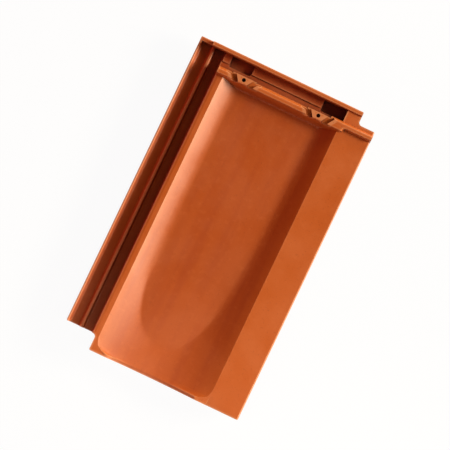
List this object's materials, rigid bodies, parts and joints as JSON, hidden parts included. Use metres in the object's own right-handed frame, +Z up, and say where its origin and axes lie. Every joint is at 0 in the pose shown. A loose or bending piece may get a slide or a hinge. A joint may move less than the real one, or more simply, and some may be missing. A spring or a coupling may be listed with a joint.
{
  "type": "clay roof tile",
  "caption": "Interlocking pressed clay roof tile with a shallow trough, a ribbed side lock, a head rib with nail holes, a cover band and hanging nibs, lying on its nibs and tail foot.",
  "frame": {"origin": "centre of the bounding box in plan, on the level that the nibs and the tail foot rest on", "axes": "+Z up from the floor to the face, +Y along the tile from the tail to the head, +X across from the side lock to the cover edge"},
  "size_m": [0.28, 0.47, 0.044],
  "materials": {
    "engobed_clay": "red-orange fired clay with a satin engobe"
  },
  "bodies": {
    "root": {"clay_tile": "engobed_clay"}
  },
  "joints": []
}
